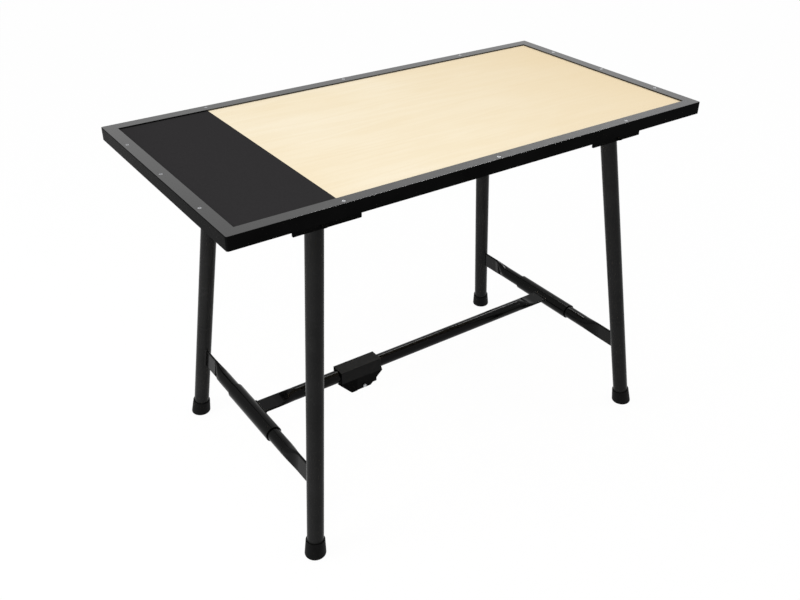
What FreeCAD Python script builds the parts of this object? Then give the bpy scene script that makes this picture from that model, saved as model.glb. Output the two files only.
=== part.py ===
import FreeCAD, Part
import math
import os

# Folding workbench: a plywood top in a frame of angle steel, on two splayed leg
# frames that fold in under it. A two-piece stretcher joins the leg frames: each half
# turns on a sleeve, and a hook on the right half holds a pin in the left half's catch.
# Millimetres, +Z up. X runs along the length, with the left end at -X, and Y across,
# with the front at -Y. The origin is on the floor under the middle of the top.

# Top
top_length = 1080
top_width = 548
bench_height = 745
rail_flange = 25
rail_depth = 25
rail_wall = 3
rail_corner_radius = 4
rail_edge_radius = 1.2
panel_thickness = 15
panel_clearance = 0.5

# Countersunk screws through the rails into the panel
rail_screw_inset = 10
long_rail_screw_spacing = 327
short_rail_screw_spacing = 159
rail_screw_head = 6.6
rail_screw_shank = 3.5
rail_screw_length = 14
rail_screw_sink = 0.2
recess_span = 3.6
recess_width = 0.9
recess_depth = 1
screw_clearance = 0.1

# Pivot brackets under the panel, one for each leg
bracket_length = 134
bracket_height = 40
bracket_wall = 3
bracket_corner_radius = 1.5
left_bracket_shift = 8
right_bracket_shift = -7.5
leg_inner_gap = 2.5
leg_outer_gap = 11.5
bracket_screw_end_inset = 15
bracket_screw_side_inset = 9
bracket_screw_head = 8
bracket_screw_head_height = 2.6
bracket_screw_shank = 4
bracket_screw_reach = 11

# Pivots
pivot_drop = 31
pivot_side_inset = 73.5
left_pivot_inset = 192.5
right_pivot_inset = 187.5
pivot_bolt_diameter = 8
pivot_bolt_fit = 0.05
pivot_head_across = 13
pivot_head_height = 5.3
pivot_nut_height = 6.5
bolt_tail = 3
bush_wall = 3
bush_end_gap = 0.3

# Legs and feet
leg_diameter = 34
leg_wall = 2
leg_head = 15
left_foot_inset = 119
right_foot_inset = 89.5
foot_side_inset = 1
foot_height = 35.5
foot_base = 9
foot_rim_wall = 2.4
foot_flare = 2.4
foot_edge_radius = 4
foot_clearance = 0.1

# Crossbars, flattened at both ends, and the sleeves that turn on them
crossbar_height = 169.5
crossbar_diameter = 29.3
crossbar_wall = 2
crossbar_flat = 45
crossbar_taper = 50
crossbar_flat_thickness = 5
sleeve_length = 175
sleeve_wall = 2.8
sleeve_fit = 0.06

# Stretcher bars, flattened where they meet the sleeves a little above the middle
bar_diameter = 29.3
bar_wall = 2
bar_flat = 34
bar_taper = 46
bar_flat_thickness = 5
bar_rise = 5.8
weld_gap = 0.05

# Catch: a channel, two pairs of plates and a pin on the left bar, a hook on the right bar
catch_reach = 269.5
left_bar_setback = 43
right_bar_setback = 38
channel_left_reach = 62
channel_right_reach = 42
channel_wall = 1.5
channel_top_gap = 1
channel_skirt = 12
channel_edge_radius = 1.2
plate_thickness = 1.5
plate_clearance = 0.2
plate_left_reach = 72
plate_left_shoulder = 8
plate_low_left_reach = 37
plate_low_right_reach = 14.5
plate_right_reach = 46.5
plate_right_shoulder = 16
plate_drop = 45.5
plate_corner_radius = 6
doubler_thickness = 1.5
doubler_reach = 22
catch_pin_diameter = 8
catch_pin_setback = 2.5
catch_pin_drop = 39.5
catch_pin_stand = 2.5
catch_pin_fit = 0.05
hook_thickness = 10
hook_arm = 6
hook_clearance = 0.5
hook_nose_rise = 3
hook_neck = 6
hook_tail = 25

# How far a cutting shape runs past what it cuts
overrun = 5

# Shares
flatten_step_shares = (0.25, 0.5, 0.75, 1)
flat_side_angle_share = 0.14
hex_corner_share = 1 / math.sqrt(3)

# Places worked out from the sizes
half_length = top_length / 2
half_width = top_width / 2
panel_top = bench_height - rail_wall
panel_bottom = panel_top - panel_thickness
rail_bottom = bench_height - rail_depth
pivot_z = panel_bottom - pivot_drop
pivot_y = half_width - pivot_side_inset
foot_y = half_width - foot_side_inset
pivot_x = {"left": left_pivot_inset - half_length, "right": half_length - right_pivot_inset}
foot_x = {"left": left_foot_inset - half_length, "right": half_length - right_foot_inset}
bracket_shift = {"left": left_bracket_shift, "right": right_bracket_shift}
side_sign = {"front": -1, "rear": 1}
leg_radius = leg_diameter / 2
leg_space = {-1: leg_radius + leg_inner_gap, 1: leg_radius + leg_outer_gap}
bush_bore = pivot_bolt_diameter / 2 + pivot_bolt_fit
sleeve_radius = crossbar_diameter / 2 + sleeve_fit + sleeve_wall
bar_radius = bar_diameter / 2
bar_height = crossbar_height + bar_rise
plate_inner = bar_radius + plate_clearance
plate_outer = plate_inner + plate_thickness


def crossbar_x(end):
    down_share = (pivot_z - crossbar_height) / pivot_z
    return pivot_x[end] + (foot_x[end] - pivot_x[end]) * down_share


catch_x = crossbar_x("left") + catch_reach
catch_pin_x = catch_x - catch_pin_setback
catch_pin_z = bar_height - catch_pin_drop


def vector(x, y, z):
    return FreeCAD.Vector(x, y, z)


def box(low, high):
    size = high - low
    return Part.makeBox(size.x, size.y, size.z, low)


def rod(start, end, radius):
    line = end - start
    return Part.makeCylinder(radius, line.Length, start, line)


def drill(shape, start, end, radius):
    along = (end - start).normalize() * overrun
    return shape.cut(rod(start - along, end + along, radius))


def prism(outline, direction):
    return Part.Face(Part.makePolygon(outline + outline[:1])).extrude(direction)


def hex_prism(start, across, direction):
    # A hexagon across Y, with two corners level with its middle
    corner = across * hex_corner_share
    turns = [math.radians(60 * step) for step in range(6)]
    outline = [start + vector(corner * math.cos(turn), 0, corner * math.sin(turn)) for turn in turns]
    return prism(outline, direction)


def save(name, *solids):
    shape = solids[0] if len(solids) == 1 else Part.makeCompound(solids)
    shape.exportStep("parts/" + name + ".step")


# Top panel, rails and their screws
def rail_screw(place, gap):
    # The screw itself with no gap, or the hole for it with one
    head_top = place - vector(0, 0, rail_screw_sink)
    head_radius = rail_screw_head / 2 + gap
    shank_radius = rail_screw_shank / 2 + gap
    cone_height = (rail_screw_head - rail_screw_shank) / 2
    down = vector(0, 0, -1)
    head = Part.makeCone(head_radius, shank_radius, cone_height, head_top, down)
    shank = rod(head_top, head_top + down * (rail_screw_length + gap), shank_radius)
    return head.fuse(shank).removeSplitter(), rod(head_top, head_top - down * overrun, head_radius)


def finished_rail_screw(place):
    screw = rail_screw(place, 0)[0]
    half_span = recess_span / 2
    half_slot = recess_width / 2
    head_top = bench_height - rail_screw_sink
    for reach_x, reach_y in ((half_span, half_slot), (half_slot, half_span)):
        low = vector(place.x - reach_x, place.y - reach_y, head_top - recess_depth)
        high = vector(place.x + reach_x, place.y + reach_y, head_top + overrun)
        screw = screw.cut(box(low, high))
    return screw


def screw_places():
    row_x = half_length - rail_screw_inset
    row_y = half_width - rail_screw_inset
    places = []
    for step in (-1, 0, 1):
        for sign in (-1, 1):
            places.append(vector(step * long_rail_screw_spacing, sign * row_y, bench_height))
            places.append(vector(sign * row_x, step * short_rail_screw_spacing, bench_height))
    return places


def rail_ring():
    ring = box(vector(-half_length, -half_width, rail_bottom), vector(half_length, half_width, bench_height))
    upright = [edge for edge in ring.Edges if edge.BoundBox.ZLength > rail_wall]
    ring = ring.makeFillet(rail_corner_radius, upright)
    rim = [edge for edge in ring.Edges if edge.BoundBox.ZMin > panel_top]
    ring = ring.makeFillet(rail_edge_radius, rim)
    inner_x = half_length - rail_wall
    inner_y = half_width - rail_wall
    below = vector(-inner_x, -inner_y, rail_bottom - overrun)
    ring = ring.cut(box(below, vector(inner_x, inner_y, panel_top)))
    edge_x = half_length - rail_flange
    edge_y = half_width - rail_flange
    opening = box(vector(-edge_x, -edge_y, panel_top - overrun), vector(edge_x, edge_y, bench_height + overrun))
    return ring.cut(opening)


def make_top():
    ring = rail_ring()
    reach_x = half_length - rail_wall - panel_clearance
    reach_y = half_width - rail_wall - panel_clearance
    panel = box(vector(-reach_x, -reach_y, panel_bottom), vector(reach_x, reach_y, panel_top))
    for place in screw_places():
        hole, clear_above = rail_screw(place, screw_clearance)
        ring = ring.cut(hole).cut(clear_above)
        panel = panel.cut(hole)
    for place in bracket_screw_places():
        top = place + vector(0, 0, bracket_screw_reach + bracket_wall + screw_clearance)
        panel = panel.cut(rod(place, top, bracket_screw_shank / 2 + screw_clearance))
    save("top_panel", panel)
    save("rail_screws", *[finished_rail_screw(place) for place in screw_places()])
    low = rail_bottom - overrun
    lift = vector(0, 0, rail_depth + 2 * overrun)
    for name, sign in (("front_rail", -1), ("rear_rail", 1)):
        edge = sign * half_width
        outline = [vector(-half_length, edge, low), vector(half_length, edge, low)]
        outline += [vector(half_length - half_width, 0, low), vector(half_width - half_length, 0, low)]
        save(name, ring.common(prism(outline, lift)))
    for name, sign in (("left_rail", -1), ("right_rail", 1)):
        edge = sign * half_length
        outline = [vector(edge, -half_width, low), vector(edge, half_width, low)]
        outline += [vector(edge - sign * half_width, 0, low)]
        save(name, ring.common(prism(outline, lift)))


# Pivot brackets, their screws, the pivot bolts and nuts
def bracket_centre(end):
    return pivot_x[end] + bracket_shift[end]


def bracket_screw_places():
    # Each place is on the underside of a bracket's web
    places = []
    span = bracket_length / 2 - bracket_screw_end_inset
    for end in ("left", "right"):
        for sign in side_sign.values():
            for step_x in (-1, 1):
                for way, space in leg_space.items():
                    x = bracket_centre(end) + step_x * span
                    y = sign * (pivot_y + way * (space - bracket_screw_side_inset))
                    places.append(vector(x, y, panel_bottom - bracket_wall))
    return places


def bracket(end, side):
    # A folded U, open below and at both ends, with more room on the leg's outer side
    sign = side_sign[side]
    faces = sorted(sign * (pivot_y + way * space) for way, space in leg_space.items())
    left = bracket_centre(end) - bracket_length / 2
    right = bracket_centre(end) + bracket_length / 2
    low = panel_bottom - bracket_height
    web = panel_bottom - bracket_wall
    body = box(vector(left, faces[0] - bracket_wall, low), vector(right, faces[1] + bracket_wall, panel_bottom))
    body = body.cut(box(vector(left - overrun, faces[0], low - overrun), vector(right + overrun, faces[1], web)))
    corners = [edge for edge in body.Edges
               if edge.BoundBox.YLength > bracket_wall / 2 and edge.BoundBox.ZMax < pivot_z]
    body = body.makeFillet(bracket_corner_radius, corners)
    start = vector(pivot_x[end], faces[0] - bracket_wall, pivot_z)
    stop = vector(pivot_x[end], faces[1] + bracket_wall, pivot_z)
    body = drill(body, start, stop, pivot_bolt_diameter / 2 + screw_clearance)
    for place in bracket_screw_places():
        body = drill(body, place, place + vector(0, 0, bracket_wall), bracket_screw_shank / 2 + screw_clearance)
    return body


def bracket_screw(place):
    low = place - vector(0, 0, bracket_screw_head_height)
    head = rod(low, place, bracket_screw_head / 2)
    rim = [edge for edge in head.Edges if edge.BoundBox.ZMax < place.z - bracket_screw_head_height / 2]
    head = head.makeFillet(bracket_screw_head_height / 2, rim)
    top = place + vector(0, 0, bracket_wall + bracket_screw_reach)
    return head.fuse(rod(place, top, bracket_screw_shank / 2))


def pivot_bolt(end, side):
    sign = side_sign[side]
    outward = vector(0, sign, 0)
    pivot = vector(pivot_x[end], sign * pivot_y, pivot_z)
    head_face = pivot + outward * (leg_space[1] + bracket_wall)
    nut_face = pivot - outward * (leg_space[-1] + bracket_wall)
    tip = nut_face - outward * (pivot_nut_height + bolt_tail)
    head = hex_prism(head_face, pivot_head_across, outward * pivot_head_height)
    bolt = head.fuse(rod(head_face, tip, pivot_bolt_diameter / 2))
    nut = hex_prism(nut_face, pivot_head_across, outward * -pivot_nut_height)
    nut = drill(nut, nut_face, tip, bush_bore)
    return bolt, nut


# Leg frames
def leg_axis(end, side):
    sign = side_sign[side]
    pivot = vector(pivot_x[end], sign * pivot_y, pivot_z)
    floor = vector(foot_x[end], sign * foot_y, 0)
    return pivot, floor, (pivot - floor).normalize()


def bush_ends(end, side):
    pivot = leg_axis(end, side)[0]
    outward = vector(0, side_sign[side], 0)
    return [pivot + outward * way * (space - bush_end_gap) for way, space in leg_space.items()]


def bush(end, side):
    start, stop = bush_ends(end, side)
    return drill(rod(start, stop, bush_bore + bush_wall), start, stop, bush_bore)


def leg(end, side):
    pivot, floor, upward = leg_axis(end, side)
    start = floor + upward * foot_base
    stop = pivot + upward * leg_head
    tube = drill(rod(start, stop, leg_radius), start, stop, leg_radius - leg_wall)
    start, stop = bush_ends(end, side)
    return tube.cut(rod(start, stop, bush_bore + bush_wall + weld_gap))


def foot(end, side):
    pivot, floor, upward = leg_axis(end, side)
    rim_radius = leg_radius + foot_clearance + foot_rim_wall
    slope = foot_flare / foot_height
    low_radius = rim_radius + foot_flare + slope * foot_base
    cup = Part.makeCone(low_radius, rim_radius, foot_height + foot_base, floor - upward * foot_base, upward)
    reach = 2 * low_radius
    ground = floor - vector(0, 0, 2 * foot_base)
    cup = cup.cut(box(ground - vector(reach, reach, 0), floor + vector(reach, reach, 0)))
    sole = [edge for edge in cup.Edges if edge.BoundBox.ZMax < foot_base / 2]
    cup = cup.makeFillet(foot_edge_radius, sole)
    seat = floor + upward * foot_base
    return cup.cut(rod(seat, floor + upward * (foot_height + overrun), leg_radius + foot_clearance))


def flat_section(radius, half_thickness, inset, x):
    # A tube's outline squeezed to a thickness with its girth kept, shrunk by an inset.
    # Local X runs along the tube, Y is the wide way and Z the thin way.
    straight = math.pi * (radius - half_thickness) / 2
    round_radius = half_thickness - inset
    if straight == 0:
        turn = math.pi * flat_side_angle_share
        start = vector(x, round_radius * math.sin(turn), round_radius * math.cos(turn))
        top = Part.Arc(start, vector(x, 0, round_radius), vector(x, -start.y, start.z)).toShape()
        low = Part.Arc(vector(x, -start.y, -start.z), vector(x, 0, -round_radius),
                       vector(x, start.y, -start.z)).toShape()
    else:
        start = vector(x, straight, round_radius)
        top = Part.makeLine(start, vector(x, -straight, round_radius))
        low = Part.makeLine(vector(x, -straight, -round_radius), vector(x, straight, -round_radius))
    outer_y = straight + round_radius
    left = Part.Arc(vector(x, -start.y, start.z), vector(x, -outer_y, 0),
                    vector(x, -start.y, -start.z)).toShape()
    right = Part.Arc(vector(x, start.y, -start.z), vector(x, outer_y, 0), start).toShape()
    return Part.Wire([top, left, low, right])


def flattened_end(radius, flat_thickness, taper, flat, inset):
    # From a round section at local X zero to a flat blade
    squeeze = radius - flat_thickness / 2
    sections = [flat_section(radius, radius, inset, 0)]
    for share in flatten_step_shares:
        eased_share = share * share * (3 - 2 * share)
        sections.append(flat_section(radius, radius - squeeze * eased_share, inset, taper * share))
    blend = Part.makeLoft(sections, True)
    blade = Part.Face(sections[-1]).extrude(vector(flat, 0, 0))
    return blend.fuse(blade)


def placed(shape, origin, along, wide):
    # Turns local X to along and local Y to wide, and moves the shape to its origin
    thin = along.cross(wide)
    turn = FreeCAD.Rotation(along, wide, thin, "XYZ")
    result = shape.copy()
    result.Placement = FreeCAD.Placement(origin, turn)
    return result


def crossbar(end):
    radius = crossbar_diameter / 2
    centre = vector(crossbar_x(end), 0, crossbar_height)
    meet_y = pivot_y + (foot_y - pivot_y) * (pivot_z - crossbar_height) / pivot_z
    round_half = meet_y - leg_radius - crossbar_flat - crossbar_taper
    half = vector(0, round_half, 0)
    outer = rod(centre - half, centre + half, radius)
    inner = rod(centre - half, centre + half, radius - crossbar_wall)
    frame_way = vector(pivot_x[end] - foot_x[end], 0, pivot_z).normalize()
    for sign in side_sign.values():
        along = vector(0, sign, 0)
        shapes = [flattened_end(radius, crossbar_flat_thickness, crossbar_taper,
                                crossbar_flat + leg_radius, inset) for inset in (0, crossbar_wall)]
        outer = outer.fuse(placed(shapes[0], centre + half * sign, along, frame_way))
        inner = inner.fuse(placed(shapes[1], centre + half * sign, along, frame_way))
    bar = outer.cut(inner)
    for side in side_sign:
        pivot, floor, upward = leg_axis(end, side)
        bar = bar.cut(rod(floor, pivot, leg_radius + weld_gap))
    return max(bar.Solids, key=lambda solid: solid.Volume)


def sleeve(end):
    centre = vector(crossbar_x(end), 0, crossbar_height)
    half = vector(0, sleeve_length / 2, 0)
    bore = crossbar_diameter / 2 + sleeve_fit
    return drill(rod(centre - half, centre + half, sleeve_radius), centre - half, centre + half, bore)


# Stretcher bars and the catch
def bar_end_x(end):
    return catch_x + (-left_bar_setback if end == "left" else right_bar_setback)


def stretcher_bar(end):
    # The round run goes from the free end to the taper, and the blade on to the sleeve
    inward = 1 if end == "left" else -1
    axis = vector(crossbar_x(end), 0, crossbar_height)
    free_end = vector(bar_end_x(end), 0, bar_height)
    outward = vector(-inward, 0, 0)
    round_start = axis + vector(0, 0, bar_rise) - outward * (sleeve_radius + bar_flat + bar_taper)
    outer = rod(free_end, round_start, bar_radius)
    inner = rod(free_end, round_start, bar_radius - bar_wall)
    shapes = [flattened_end(bar_radius, bar_flat_thickness, bar_taper, bar_flat + sleeve_radius, inset)
              for inset in (0, bar_wall)]
    across = vector(0, 1, 0)
    outer = outer.fuse(placed(shapes[0], round_start, outward, across))
    inner = inner.fuse(placed(shapes[1], round_start, outward, across))
    half = vector(0, sleeve_length, 0)
    bar = outer.cut(inner).cut(rod(axis - half, axis + half, sleeve_radius + weld_gap))
    return max(bar.Solids, key=lambda solid: solid.Volume)


def catch_channel():
    outer_y = plate_outer + channel_wall
    top = bar_height + bar_radius + channel_top_gap
    low = bar_height - channel_skirt
    left = catch_x - channel_left_reach
    right = catch_x + channel_right_reach
    body = box(vector(left, -outer_y, low), vector(right, outer_y, top + channel_wall))
    shoulders = [edge for edge in body.Edges
                 if edge.BoundBox.XLength > channel_wall and edge.BoundBox.ZMin > top]
    body = body.makeFillet(channel_edge_radius, shoulders)
    return body.cut(box(vector(left - overrun, -plate_outer, low - overrun),
                        vector(right + overrun, plate_outer, top)))


def plate_blank(side, inner, thickness):
    # The outline of the catch plates, as a slab that starts at an inner face
    sign = side_sign[side]
    start_y = min(sign * inner, sign * (inner + thickness))
    axis = bar_height
    outline = [(catch_x - channel_left_reach, axis), (catch_x - plate_left_reach, axis - plate_left_shoulder)]
    outline += [(catch_x - plate_low_left_reach, axis - plate_drop)]
    outline += [(catch_x + plate_low_right_reach, axis - plate_drop)]
    outline += [(catch_x + plate_right_reach, axis - plate_right_shoulder)]
    outline += [(catch_x + channel_right_reach, axis)]
    slab = prism([vector(x, start_y, z) for x, z in outline], vector(0, thickness, 0))
    middle = catch_x - (plate_low_left_reach - plate_low_right_reach) / 2
    corner = [edge for edge in slab.Edges
              if edge.BoundBox.YLength > thickness / 2 and edge.BoundBox.ZMax < axis - plate_left_shoulder
              and edge.BoundBox.ZMax < axis - plate_right_shoulder - plate_thickness
              and edge.BoundBox.XMax < middle]
    return slab.makeFillet(plate_corner_radius, corner), start_y


def catch_plate(side):
    plate, start_y = plate_blank(side, plate_inner, plate_thickness)
    start = vector(catch_pin_x, start_y, catch_pin_z)
    return drill(plate, start, start + vector(0, plate_thickness, 0), catch_pin_diameter / 2 + catch_pin_fit)


def catch_doubler(side):
    # Backs the left part of a plate, level with the channel's skirt
    slab, start_y = plate_blank(side, plate_outer, doubler_thickness)
    low = vector(catch_x - plate_left_reach - overrun, start_y - overrun, bar_height - plate_drop - overrun)
    high = vector(catch_x - doubler_reach, start_y + doubler_thickness + overrun,
                  bar_height - channel_skirt - weld_gap)
    return slab.common(box(low, high))


def catch_pin():
    # Both ends stand out of the plates
    half = vector(0, plate_outer + catch_pin_stand, 0)
    centre = vector(catch_pin_x, 0, catch_pin_z)
    return rod(centre - half, centre + half, catch_pin_diameter / 2)


def catch_hook():
    # Its arm passes under the pin and its nose stands up on the pin's far side.
    # Its tail fills the bore of the right bar.
    reach = catch_pin_diameter / 2 + hook_clearance
    tail_radius = bar_radius - bar_wall - weld_gap
    tail_half = math.sqrt(tail_radius ** 2 - (hook_thickness / 2) ** 2)
    bar_end = bar_end_x("right")
    neck = bar_end - hook_neck
    floor = catch_pin_z - reach
    nose = catch_pin_x - reach
    axis = bar_height
    outline = [(bar_end + hook_tail, axis - tail_half), (bar_end + hook_tail, axis + tail_half)]
    outline += [(neck, axis + tail_half), (neck, floor), (nose, floor), (nose, catch_pin_z + hook_nose_rise)]
    outline += [(nose - hook_arm, catch_pin_z + hook_nose_rise), (nose - hook_arm, floor - hook_arm)]
    outline += [(bar_end - weld_gap, floor - hook_arm), (bar_end - weld_gap, axis - tail_half)]
    start_y = -hook_thickness / 2
    return prism([vector(x, start_y, z) for x, z in outline], vector(0, hook_thickness, 0))


def make_leg_frames():
    nuts = []
    for end in ("left", "right"):
        for side in side_sign:
            name = side + "_" + end
            bolt, nut = pivot_bolt(end, side)
            nuts.append(nut)
            save(name + "_bracket", bracket(end, side))
            save(name + "_pivot_bolt", bolt)
            save(name + "_leg", leg(end, side))
            save(name + "_bush", bush(end, side))
            save(name + "_foot", foot(end, side))
        save(end + "_crossbar", crossbar(end))
    save("pivot_nuts", *nuts)
    save("bracket_screws", *[bracket_screw(place) for place in bracket_screw_places()])


def make_stretcher():
    for end in ("left", "right"):
        save(end + "_sleeve", sleeve(end))
        save(end + "_stretcher_bar", stretcher_bar(end))
    save("catch_channel", catch_channel())
    for side in side_sign:
        save(side + "_catch_plate", catch_plate(side))
        save(side + "_catch_doubler", catch_doubler(side))
    save("catch_pin", catch_pin())
    save("catch_hook", catch_hook())


os.makedirs("parts", exist_ok=True)
make_top()
make_leg_frames()
make_stretcher()
print("crossbars at x", round(crossbar_x("left"), 2), round(crossbar_x("right"), 2), "z", crossbar_height)
print("pivots at x", pivot_x, "y", pivot_y, "z", pivot_z)
print("catch pin at x", round(catch_pin_x, 2), "z", catch_pin_z)
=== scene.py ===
import math

import bmesh
import bpy
from mathutils import Matrix, Vector


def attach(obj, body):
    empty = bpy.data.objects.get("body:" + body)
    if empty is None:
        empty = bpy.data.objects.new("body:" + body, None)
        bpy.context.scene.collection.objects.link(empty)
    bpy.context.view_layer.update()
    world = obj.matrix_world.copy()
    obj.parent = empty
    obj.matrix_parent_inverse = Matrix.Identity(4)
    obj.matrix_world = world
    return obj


# Folding workbench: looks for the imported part. Metres, +Z up, front at -Y, left end at -X.

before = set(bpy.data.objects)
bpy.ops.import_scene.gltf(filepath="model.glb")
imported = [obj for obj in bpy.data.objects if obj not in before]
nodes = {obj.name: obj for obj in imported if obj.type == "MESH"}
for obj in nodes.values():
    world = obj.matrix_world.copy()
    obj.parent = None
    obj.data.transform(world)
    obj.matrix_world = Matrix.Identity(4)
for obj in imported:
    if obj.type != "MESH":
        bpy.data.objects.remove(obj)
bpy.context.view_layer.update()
scene = bpy.context.scene
print("frame loaded:", len(nodes), "nodes")


def linear(hexColour):
    # An sRGB colour as linear values
    shares = [int(hexColour[i:i + 2], 16) / 255 for i in (1, 3, 5)]
    return [s / 12.92 if s <= 0.04045 else ((s + 0.055) / 1.055) ** 2.4 for s in shares] + [1]


def addNode(tree, kind, settings=None, links=None, out=0):
    # Gives back one of the node's outputs, or the node where it has none
    node = tree.nodes.new(kind)
    for name, value in (settings or {}).items():
        if isinstance(name, int) or name in node.inputs:
            node.inputs[name].default_value = value
        else:
            setattr(node, name, value)
    for name, source in (links or {}).items():
        tree.links.new(source, node.inputs[name])
    return node.outputs[out] if node.outputs else node


def startMaterial(look):
    # One noise for each pattern, from its feature sizes in millimetres along X, Y and Z
    material = bpy.data.materials.new(look["name"])
    material.use_nodes = True
    tree = material.node_tree
    tree.nodes.clear()
    place = addNode(tree, "ShaderNodeTexCoord", out="Object")
    patterns = {}
    for key, (sizes, detail, distortion) in look["patterns"].items():
        stretched = addNode(tree, "ShaderNodeMapping", {"Scale": [1000 / size for size in sizes]}, {"Vector": place})
        patterns[key] = addNode(tree, "ShaderNodeTexNoise",
                                {"Scale": 1, "Detail": detail, "Distortion": distortion}, {"Vector": stretched})
    return material, tree, place, patterns


def layColours(tree, patterns, look):
    # Each layer tints the colour under it where its pattern runs from low to high, up to a share
    colour = None
    for key, low, high, share, tint in look["layers"]:
        amount = addNode(tree, "ShaderNodeMapRange", {"From Min": low, "From Max": high, "To Max": share},
                         {"Value": patterns[key]})
        links = {0: amount, 6: colour} if colour else {0: amount}
        colour = addNode(tree, "ShaderNodeMix", {"data_type": "RGBA", 6: linear(look["base"]), 7: linear(tint)},
                         links, out=2)
    return colour


def finishMaterial(tree, patterns, look, colour):
    glossPattern, bright, dull = look["roughness"]
    roughness = addNode(tree, "ShaderNodeMapRange",
                        {"From Min": 0.3, "From Max": 0.7, "To Min": bright, "To Max": dull},
                        {"Value": patterns[glossPattern]})
    bumpPattern, strength, depthMm = look["bump"]
    relief = addNode(tree, "ShaderNodeBump", {"Strength": strength, "Distance": depthMm / 1000},
                     {"Height": patterns[bumpPattern]})
    shader = addNode(tree, "ShaderNodeBsdfPrincipled", look["shader"],
                     {"Base Color": colour, "Roughness": roughness, "Normal": relief})
    addNode(tree, "ShaderNodeOutputMaterial", {}, {"Surface": shader})


def makeFinish(look):
    material, tree, _, patterns = startMaterial(look)
    finishMaterial(tree, patterns, look, layColours(tree, patterns, look))
    return material


# Pale rotary-cut birch plywood, sanded and bare. The eye gets faint contour figure, fine fibres
# along the length, and a flat black painted band at the left end; the top turns darker and warmer from the middle
# towards the right end.
# Real fibres and pores are about five times finer than these, which are as coarse as they need to show.
plywood = {
    "name": "birch_plywood",
    "patterns": {"figure": ((520, 46, 200), 2, 0.4), "fibre": ((95, 1.5, 6), 4, 0), "pore": ((11, 0.55, 4), 2, 0),
                 "cloud": ((240, 160, 200), 2, 0), "brush": ((3, 3, 3), 2, 0)},
    "contours": 34, "base": "#F7ECD4",
    "layers": [("cloud", 0.3, 0.7, 0.7, "#F2E2C2"), ("along", 0, 0.52, 0.75, "#E8D3AE"),
               ("contour", -1, 1, 0.14, "#E8D4AE"), ("fibre", 0.3, 0.7, 0.15, "#E8D4AE"),
               ("pore", 0.62, 0.75, 0.16, "#D5BB90")],
    "band": "#2D2C2D", "bandPale": "#343334", "bandEnd": -0.329, "topFace": 0.741,
    "roughness": ("fibre", 0.42, 0.56), "bump": ("fibre", 0.05, 0.1), "shader": {"Specular IOR Level": 0},
}


def makePlywood(look):
    material, tree, place, patterns = startMaterial(look)
    turns = addNode(tree, "ShaderNodeMath", {"operation": "MULTIPLY", 1: look["contours"]}, {0: patterns["figure"]})
    patterns["contour"] = addNode(tree, "ShaderNodeMath", {"operation": "SINE"}, {0: turns})
    patterns["along"] = addNode(tree, "ShaderNodeSeparateXYZ", {}, {0: place}, out="X")
    wood = layColours(tree, patterns, look)
    paint = addNode(tree, "ShaderNodeMix",
                    {"data_type": "RGBA", 6: linear(look["band"]), 7: linear(look["bandPale"])},
                    {0: patterns["brush"]}, out=2)
    inBand = addNode(tree, "ShaderNodeMath", {"operation": "LESS_THAN", 1: look["bandEnd"]}, {0: patterns["along"]})
    onTop = addNode(tree, "ShaderNodeMath", {"operation": "GREATER_THAN", 1: look["topFace"]},
                    {0: addNode(tree, "ShaderNodeSeparateXYZ", {}, {0: place}, out="Z")})
    painted = addNode(tree, "ShaderNodeMath", {"operation": "MULTIPLY"}, {0: inBand, 1: onTop})
    colour = addNode(tree, "ShaderNodeMix", {"data_type": "RGBA"}, {0: painted, 6: wood, 7: paint}, out=2)
    finishMaterial(tree, patterns, look, colour)
    return material


# Black powder coat on steel. The eye gets a soft sheen with a fine orange peel and a slight change of gloss
# from place to place.
# Its specular level is near zero, so the rails' sides, the brackets, the pivot bolts and the catch's doublers stay
# dark: painted shade
railPaint = {
    "name": "black_powder_coat_rails", "base": "#070707", "layers": [("cloud", 0.3, 0.7, 1, "#0B0B0B")],
    "patterns": {"cloud": ((70, 70, 70), 3, 0), "gloss": ((14, 14, 14), 3, 0), "peel": ((2.2, 2.2, 2.2), 1, 0)},
    "roughness": ("gloss", 0.16, 0.24), "bump": ("peel", 0.012, 0.15), "shader": {"Specular IOR Level": 0.005},
}
# A lit copy of the same coat, on the rails' flanges: its high specular level paints sheen onto their tops and inner
# edges
sheenCopyPaint = {**railPaint, "name": "black_powder_coat_painted_sheen", "roughness": ("gloss", 0.18, 0.21),
                 "bump": ("peel", 0.004, 0.15), "shader": {"Specular IOR Level": 0.55}}
tubePaint = {
    "name": "black_powder_coat_tubes", "base": "#151515", "layers": [("cloud", 0.3, 0.7, 1, "#1A1A1A")],
    "patterns": {"cloud": ((60, 60, 60), 3, 0), "gloss": ((11, 11, 11), 3, 0), "peel": ((2, 2, 2), 1, 0)},
    "roughness": ("gloss", 0.2, 0.3), "bump": ("peel", 0.008, 0.15), "shader": {"Specular IOR Level": 0.05},
}
# A darker copy of the tube coat, on the crossbars, sleeves and stretcher: painted shade, and glossier
shadedBarPaint = {**tubePaint, "name": "black_powder_coat_bars_painted_shade", "base": "#020202",
            "layers": [("cloud", 0.3, 0.7, 1, "#040404")], "roughness": ("gloss", 0.11, 0.17),
            "bump": ("peel", 0.004, 0.15), "shader": {"Specular IOR Level": 0.08}}
# Dull on the catch. Its plates get a darker copy of it: painted shade, where they lie back under the channel
catchPaint = {
    "name": "black_powder_coat_catch", "base": "#060606", "layers": [("cloud", 0.3, 0.7, 1, "#0A0A0A")],
    "patterns": {"cloud": ((25, 25, 25), 3, 0), "gloss": ((8, 8, 8), 3, 0), "peel": ((1.6, 1.6, 1.6), 1, 0)},
    "roughness": ("gloss", 0.5, 0.6), "bump": ("peel", 0.02, 0.15), "shader": {"Specular IOR Level": 0.08},
}
plateShadePaint = {**catchPaint, "name": "black_powder_coat_plates", "base": "#050505",
              "layers": [("cloud", 0.3, 0.7, 1, "#070707")], "shader": {"Specular IOR Level": 0.03}}
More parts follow.
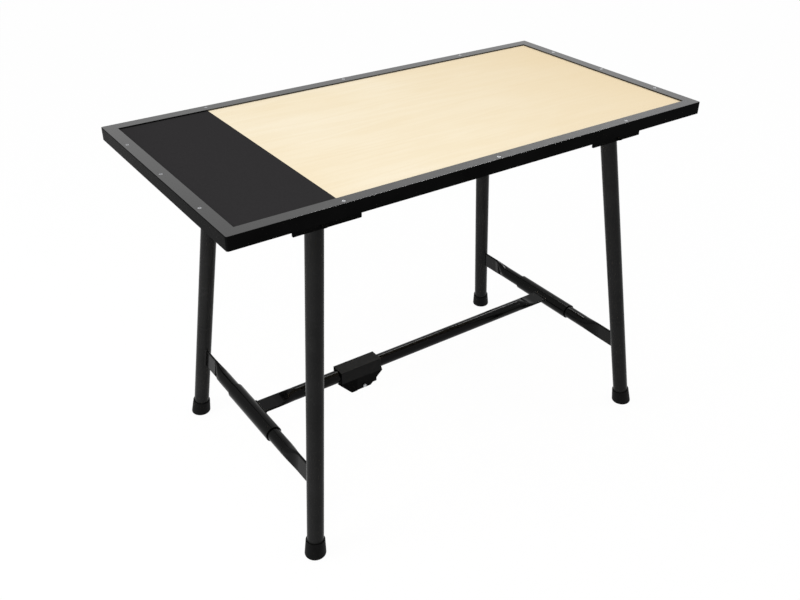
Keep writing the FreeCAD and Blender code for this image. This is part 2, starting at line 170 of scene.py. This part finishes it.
# Moulded black rubber. The eye gets a dull, slightly dusty grain, drawn coarser than the real one, which is
# too fine to show.
rubber = {
    "name": "black_rubber", "base": "#050505", "layers": [("dust", 0.3, 0.7, 1, "#0A0A0A")],
    "patterns": {"dust": ((9, 9, 9), 4, 0), "grain": ((0.9, 0.9, 0.9), 2, 0)},
    "roughness": ("dust", 0.5, 0.65), "bump": ("grain", 0.25, 0.15), "shader": {"Specular IOR Level": 0.06},
}
# Bright zinc on steel fasteners. The eye gets a cool silver with a faint crystal mottle.
zinc = {
    "name": "zinc_plated_steel", "base": "#B9BABC", "layers": [("mottle", 0.3, 0.7, 1, "#9A9C9F")],
    "patterns": {"mottle": ((2.5, 2.5, 2.5), 3, 0)},
    "roughness": ("mottle", 0.45, 0.6), "bump": ("mottle", 0.03, 0.05), "shader": {"Metallic": 1},
}

materials = {"plywood": makePlywood(plywood), "rails": makeFinish(railPaint), "paintedSheen": makeFinish(sheenCopyPaint),
             "tubes": makeFinish(tubePaint), "bars": makeFinish(shadedBarPaint), "catch": makeFinish(catchPaint),
             "plates": makeFinish(plateShadePaint), "rubber": makeFinish(rubber), "zinc": makeFinish(zinc)}
zincEndings = ("_screws", "_nuts", "_bush", "catch_pin")
# The faces that get the painted sheen: the flanges' tops and inner edges, the rails' faces that lie above
# this height and are level or upright, which leaves out the narrow facets of the rounded edges
upperFaces = {"above": 0.742, "slopeMiddle": 0.5, "slopeSpan": 0.49}


def materialFor(name):
    if name == "top_panel":
        return materials["plywood"]
    if name.endswith("_foot"):
        return materials["rubber"]
    if name.endswith(zincEndings):
        return materials["zinc"]
    # The near-zero specular of the rail coat keeps brackets, pivot bolts and doublers dark: painted shade
    if name.endswith(("_rail", "_bracket", "_bolt", "_doubler")):
        return materials["rails"]
    # The catch's plates get the darker copy of the catch coat: painted shade under the channel
    if "catch_" in name:
        return materials["plates" if name.endswith("_plate") else "catch"]
    # The crossbars, sleeves and stretcher get the darker copy of the tube coat: painted shade
    return materials["bars" if name.endswith(("_bar", "_crossbar", "_sleeve")) else "tubes"]


# Paints sheen onto the rails' upper faces by giving them the lit copy of the coat
sheenPainting = bpy.data.node_groups.new("paintSheenOnUpperFaces", "GeometryNodeTree")
for way in ("INPUT", "OUTPUT"):
    sheenPainting.interface.new_socket("Geometry", in_out=way, socket_type="NodeSocketGeometry")
height = addNode(sheenPainting, "ShaderNodeSeparateXYZ", {},
                 {0: addNode(sheenPainting, "GeometryNodeInputPosition")}, out="Z")
slope = addNode(sheenPainting, "ShaderNodeSeparateXYZ", {},
                {0: addNode(sheenPainting, "GeometryNodeInputNormal")}, out="Z")
isUpper = addNode(sheenPainting, "FunctionNodeCompare", {"operation": "GREATER_THAN", "B": upperFaces["above"]},
                  {"A": height})
isFlat = addNode(sheenPainting, "FunctionNodeCompare",
                 {"operation": "NOT_EQUAL", "B": upperFaces["slopeMiddle"], "Epsilon": upperFaces["slopeSpan"]},
                 {"A": slope})
isChosen = addNode(sheenPainting, "FunctionNodeBooleanMath", {"operation": "AND"}, {0: isUpper, 1: isFlat})
paintedSheen = addNode(sheenPainting, "GeometryNodeSetMaterial", {"Material": materials["paintedSheen"]},
                   {"Geometry": addNode(sheenPainting, "NodeGroupInput"), "Selection": isChosen})
addNode(sheenPainting, "NodeGroupOutput", {}, {"Geometry": paintedSheen})

for name, node in nodes.items():
    node.data.materials.clear()
    node.data.materials.append(materialFor(name))
    if name.endswith("_rail"):
        # The rails' upper faces get the lit copy of the coat: painted sheen
        node.modifiers.new("paintSheenOnUpperFaces", "NODES").node_group = sheenPainting
print("materials set on", len(nodes), "nodes")


# Weld beads, with the ripple of a hand-run weld under the paint
weld = {"step": 0.0008, "ripple": 0.0028, "rippleShare": 0.16, "sides": 10, "fadeSteps": 3, "tip": 0.35}
ends = {
    "left": {"pivotX": -0.3475, "footX": -0.421, "crossbarX": -0.4031, "inward": 1},
    "right": {"pivotX": 0.3525, "footX": 0.4505, "crossbarX": 0.42663, "inward": -1},
}
legs = {"pivotY": 0.2005, "footY": 0.273, "pivotZ": 0.696, "radius": 0.017, "crossbarZ": 0.1695}
sides = {"front": -1, "rear": 1}


def makeBead(name, body, points, radius, closed):
    # A circle is drawn out along the points, and swells and thins once in each ripple
    mesh = bmesh.new()
    last = len(points) - 1
    travelled = 0
    for index, point in enumerate(points):
        before = points[index - 1] if closed or index else point
        after = points[(index + 1) % len(points)] if closed or index < last else point
        along = (after - before).normalized()
        travelled += (point - points[index - 1]).length if index else 0
        size = radius * (1 + weld["rippleShare"] * math.sin(2 * math.pi * travelled / weld["ripple"]))
        if not closed:
            size *= min(1, weld["tip"] + (1 - weld["tip"]) * min(index, last - index) / weld["fadeSteps"])
        if index == 0:
            upright = Matrix.Translation(point) @ along.to_track_quat("Z", "Y").to_matrix().to_4x4()
            bmesh.ops.create_circle(mesh, cap_ends=not closed, segments=weld["sides"], radius=size, matrix=upright)
            edges = firstEdges = mesh.edges[:]
        else:
            drawn = bmesh.ops.extrude_edge_only(mesh, edges=edges)["geom"]
            edges = [part for part in drawn if isinstance(part, bmesh.types.BMEdge) and part.is_boundary]
            turn = lastAlong.rotation_difference(along).to_matrix().to_4x4()
            move = (Matrix.Translation(point) @ turn @ Matrix.Scale(size / lastSize, 4)
                    @ Matrix.Translation(-points[index - 1]))
            corners = [part for part in drawn if isinstance(part, bmesh.types.BMVert)]
            bmesh.ops.transform(mesh, matrix=move, verts=corners)
        lastAlong, lastSize = along, size
    if closed:
        bmesh.ops.bridge_loops(mesh, edges=firstEdges + edges)
    else:
        bmesh.ops.holes_fill(mesh, edges=edges)
    bmesh.ops.recalc_face_normals(mesh, faces=mesh.faces)
    for face in mesh.faces:
        face.smooth = True
    data = bpy.data.meshes.new(name)
    mesh.to_mesh(data)
    mesh.free()
    data.materials.append(materials["tubes"])
    bead = bpy.data.objects.new(name, data)
    scene.collection.objects.link(bead)
    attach(bead, body)


def bladeOutline(blade):
    # Even steps round a flattened tube's section, as pairs of wide and thin places
    thick = blade["halfThickness"]
    straight = blade["halfWidth"] - thick
    half = 2 * straight + math.pi * thick
    count = round(half / weld["step"])
    outline = []
    for index in range(count):
        place = half * index / count
        turn = max(0, place - 2 * straight) / thick
        outline.append((straight - min(place, 2 * straight) - thick * math.sin(turn), thick * math.cos(turn)))
    return outline + [(-wide, -thin) for wide, thin in outline]


def onTube(start, way, axisPoint, axisWay, radius):
    # Where a line first meets a tube
    flatWay = way - axisWay * way.dot(axisWay)
    flatStart = (start - axisPoint) - axisWay * (start - axisPoint).dot(axisWay)
    a = flatWay.length_squared
    b = flatWay.dot(flatStart)
    c = flatStart.length_squared - radius ** 2
    return start + way * ((-b - math.sqrt(b * b - a * c)) / a)


crossbarBlade = {"halfWidth": 0.0216, "halfThickness": 0.0025, "bead": 0.0026}
barBlade = {"halfWidth": 0.0216, "halfThickness": 0.0025, "bead": 0.0024, "sleeveRadius": 0.01751, "rise": 0.0058,
            "startAway": 0.1}

for end, place in ends.items():
    centre = Vector((place["crossbarX"], 0, legs["crossbarZ"]))
    frameWay = Vector((place["pivotX"] - place["footX"], 0, legs["pivotZ"])).normalized()
    for side, sign in sides.items():
        pivot = Vector((place["pivotX"], sign * legs["pivotY"], legs["pivotZ"]))
        legWay = (pivot - Vector((place["footX"], sign * legs["footY"], 0))).normalized()
        outward = Vector((0, sign, 0))
        thin = outward.cross(frameWay)
        points = [onTube(centre + frameWay * wideAt + thin * thinAt, outward, pivot, legWay, legs["radius"])
                  for wideAt, thinAt in bladeOutline(crossbarBlade)]
        makeBead(side + "_" + end + "_crossbar_weld", end + "_legs", points, crossbarBlade["bead"], True)
    inward = Vector((place["inward"], 0, 0))
    start = centre + inward * barBlade["startAway"] + Vector((0, 0, barBlade["rise"]))
    points = [onTube(start + Vector((0, wideAt, thinAt)), -inward, centre, Vector((0, 1, 0)), barBlade["sleeveRadius"])
              for wideAt, thinAt in bladeOutline(barBlade)]
    makeBead(end + "_bar_weld", end + "_stretcher", points, barBlade["bead"], True)

catchStitch = {"startX": -0.1215, "endX": -0.0975, "halfY": 0.01675, "z": 0.163, "bead": 0.0012}
for side, sign in sides.items():
    start = Vector((catchStitch["startX"], sign * catchStitch["halfY"], catchStitch["z"]))
    stop = Vector((catchStitch["endX"], sign * catchStitch["halfY"], catchStitch["z"]))
    count = round((stop - start).length / weld["step"])
    points = [start.lerp(stop, index / count) for index in range(count + 1)]
    makeBead(side + "_catch_weld", "left_stretcher", points, catchStitch["bead"], False)
print("weld beads made")

# Camera at the photograph's angle
view = {"place": (-1.0034, -1.383, 1.366), "yaw": 35.196, "pitch": 31.792, "roll": 0.519, "focalPixels": 890.41,
        "pictureWidth": 800}
yaw, pitch, roll = (math.radians(view[key]) for key in ("yaw", "pitch", "roll"))
forward = Vector((math.cos(pitch) * math.sin(yaw), math.cos(pitch) * math.cos(yaw), -math.sin(pitch)))
level = Vector((math.cos(yaw), -math.sin(yaw), 0))
upright = level.cross(forward)
across = level * math.cos(roll) + upright * math.sin(roll)
upward = upright * math.cos(roll) - level * math.sin(roll)
cameraData = bpy.data.cameras.new("camera")
cameraData.sensor_width = 36
cameraData.lens = view["focalPixels"] / view["pictureWidth"] * cameraData.sensor_width
camera = bpy.data.objects.new("camera", cameraData)
camera.matrix_world = Matrix.Translation(view["place"]) @ Matrix((across, upward, -forward)).transposed().to_4x4()
scene.collection.objects.link(camera)
scene.camera = camera

# Plain studio: a white surround, a pale floor that keeps the shadow, and soft lamps
studio = {"surround": 0.9, "floorHalf": 30, "floorColour": "#F2F2F2", "floorGlow": 0.95}
lamps = {
    "key": {"place": (-1.6, -1.5, 2.9), "aim": (0, 0, 0.5), "size": (0.8, 0.8), "power": 14,
            "matte": True, "gloss": True},
    "fill": {"place": (2.4, -1.2, 1.9), "aim": (0, 0, 0.4), "size": (0.6, 0.6), "power": 8,
             "matte": True, "gloss": True},
    # Draws a bright line along the stretcher
    "strip": {"place": (1.5, 1.25, 2.3), "aim": (1.5, 0, 0.2), "size": (1.8, 0.2), "power": 30,
              "matte": False, "gloss": True},
    # Rounds the legs from the left
    "side": {"place": (-2.6, 0.2, 0.5), "aim": (0, 0, 0.4), "size": (1.2, 1), "power": 60,
             "matte": True, "gloss": False},
}


def seenShare(tree, unseen, seen):
    # One value for rays from the camera, mirrors and clear things, and another for the rest
    ray = addNode(tree, "ShaderNodeLightPath", out="Is Camera Ray")
    for kind in ("Is Glossy Ray", "Is Transmission Ray"):
        ray = addNode(tree, "ShaderNodeMath", {"operation": "MAXIMUM"},
                      {0: ray, 1: addNode(tree, "ShaderNodeLightPath", out=kind)})
    return addNode(tree, "ShaderNodeMapRange", {"To Min": unseen, "To Max": seen}, {"Value": ray})


world = bpy.data.worlds.new("surround")
world.use_nodes = True
worldTree = world.node_tree
worldTree.nodes.clear()
surround = addNode(worldTree, "ShaderNodeBackground", {"Color": (1, 1, 1, 1)},
                   {"Strength": seenShare(worldTree, studio["surround"], 1)})
addNode(worldTree, "ShaderNodeOutputWorld", {}, {"Surface": surround})
scene.world = world

floorMaterial = bpy.data.materials.new("pale_floor")
floorMaterial.use_nodes = True
floorTree = floorMaterial.node_tree
floorTree.nodes.clear()
matte = addNode(floorTree, "ShaderNodeBsdfDiffuse", {"Color": linear(studio["floorColour"])})
glow = addNode(floorTree, "ShaderNodeEmission", {"Color": (1, 1, 1, 1), "Strength": 1})
surface = addNode(floorTree, "ShaderNodeMixShader", {},
                  {0: seenShare(floorTree, 0, studio["floorGlow"]), 1: matte, 2: glow})
addNode(floorTree, "ShaderNodeOutputMaterial", {}, {"Surface": surface})
floorMesh = bmesh.new()
bmesh.ops.create_grid(floorMesh, x_segments=1, y_segments=1, size=studio["floorHalf"])
floorData = bpy.data.meshes.new("floor")
floorMesh.to_mesh(floorData)
floorMesh.free()
floorData.materials.append(floorMaterial)
floor = bpy.data.objects.new("floor", floorData)
scene.collection.objects.link(floor)

for name, lamp in lamps.items():
    lampData = bpy.data.lights.new(name, "AREA")
    lampData.shape = "RECTANGLE"
    lampData.size, lampData.size_y = lamp["size"]
    lampData.energy = lamp["power"]
    light = bpy.data.objects.new(name, lampData)
    way = Vector(lamp["aim"]) - Vector(lamp["place"])
    light.visible_camera = False
    light.visible_diffuse, light.visible_glossy = lamp["matte"], lamp["gloss"]
    light.matrix_world = Matrix.Translation(lamp["place"]) @ way.to_track_quat("-Z", "Y").to_matrix().to_4x4()
    scene.collection.objects.link(light)

scene.view_settings.view_transform = "Standard"
print("camera, floor and lamps set")
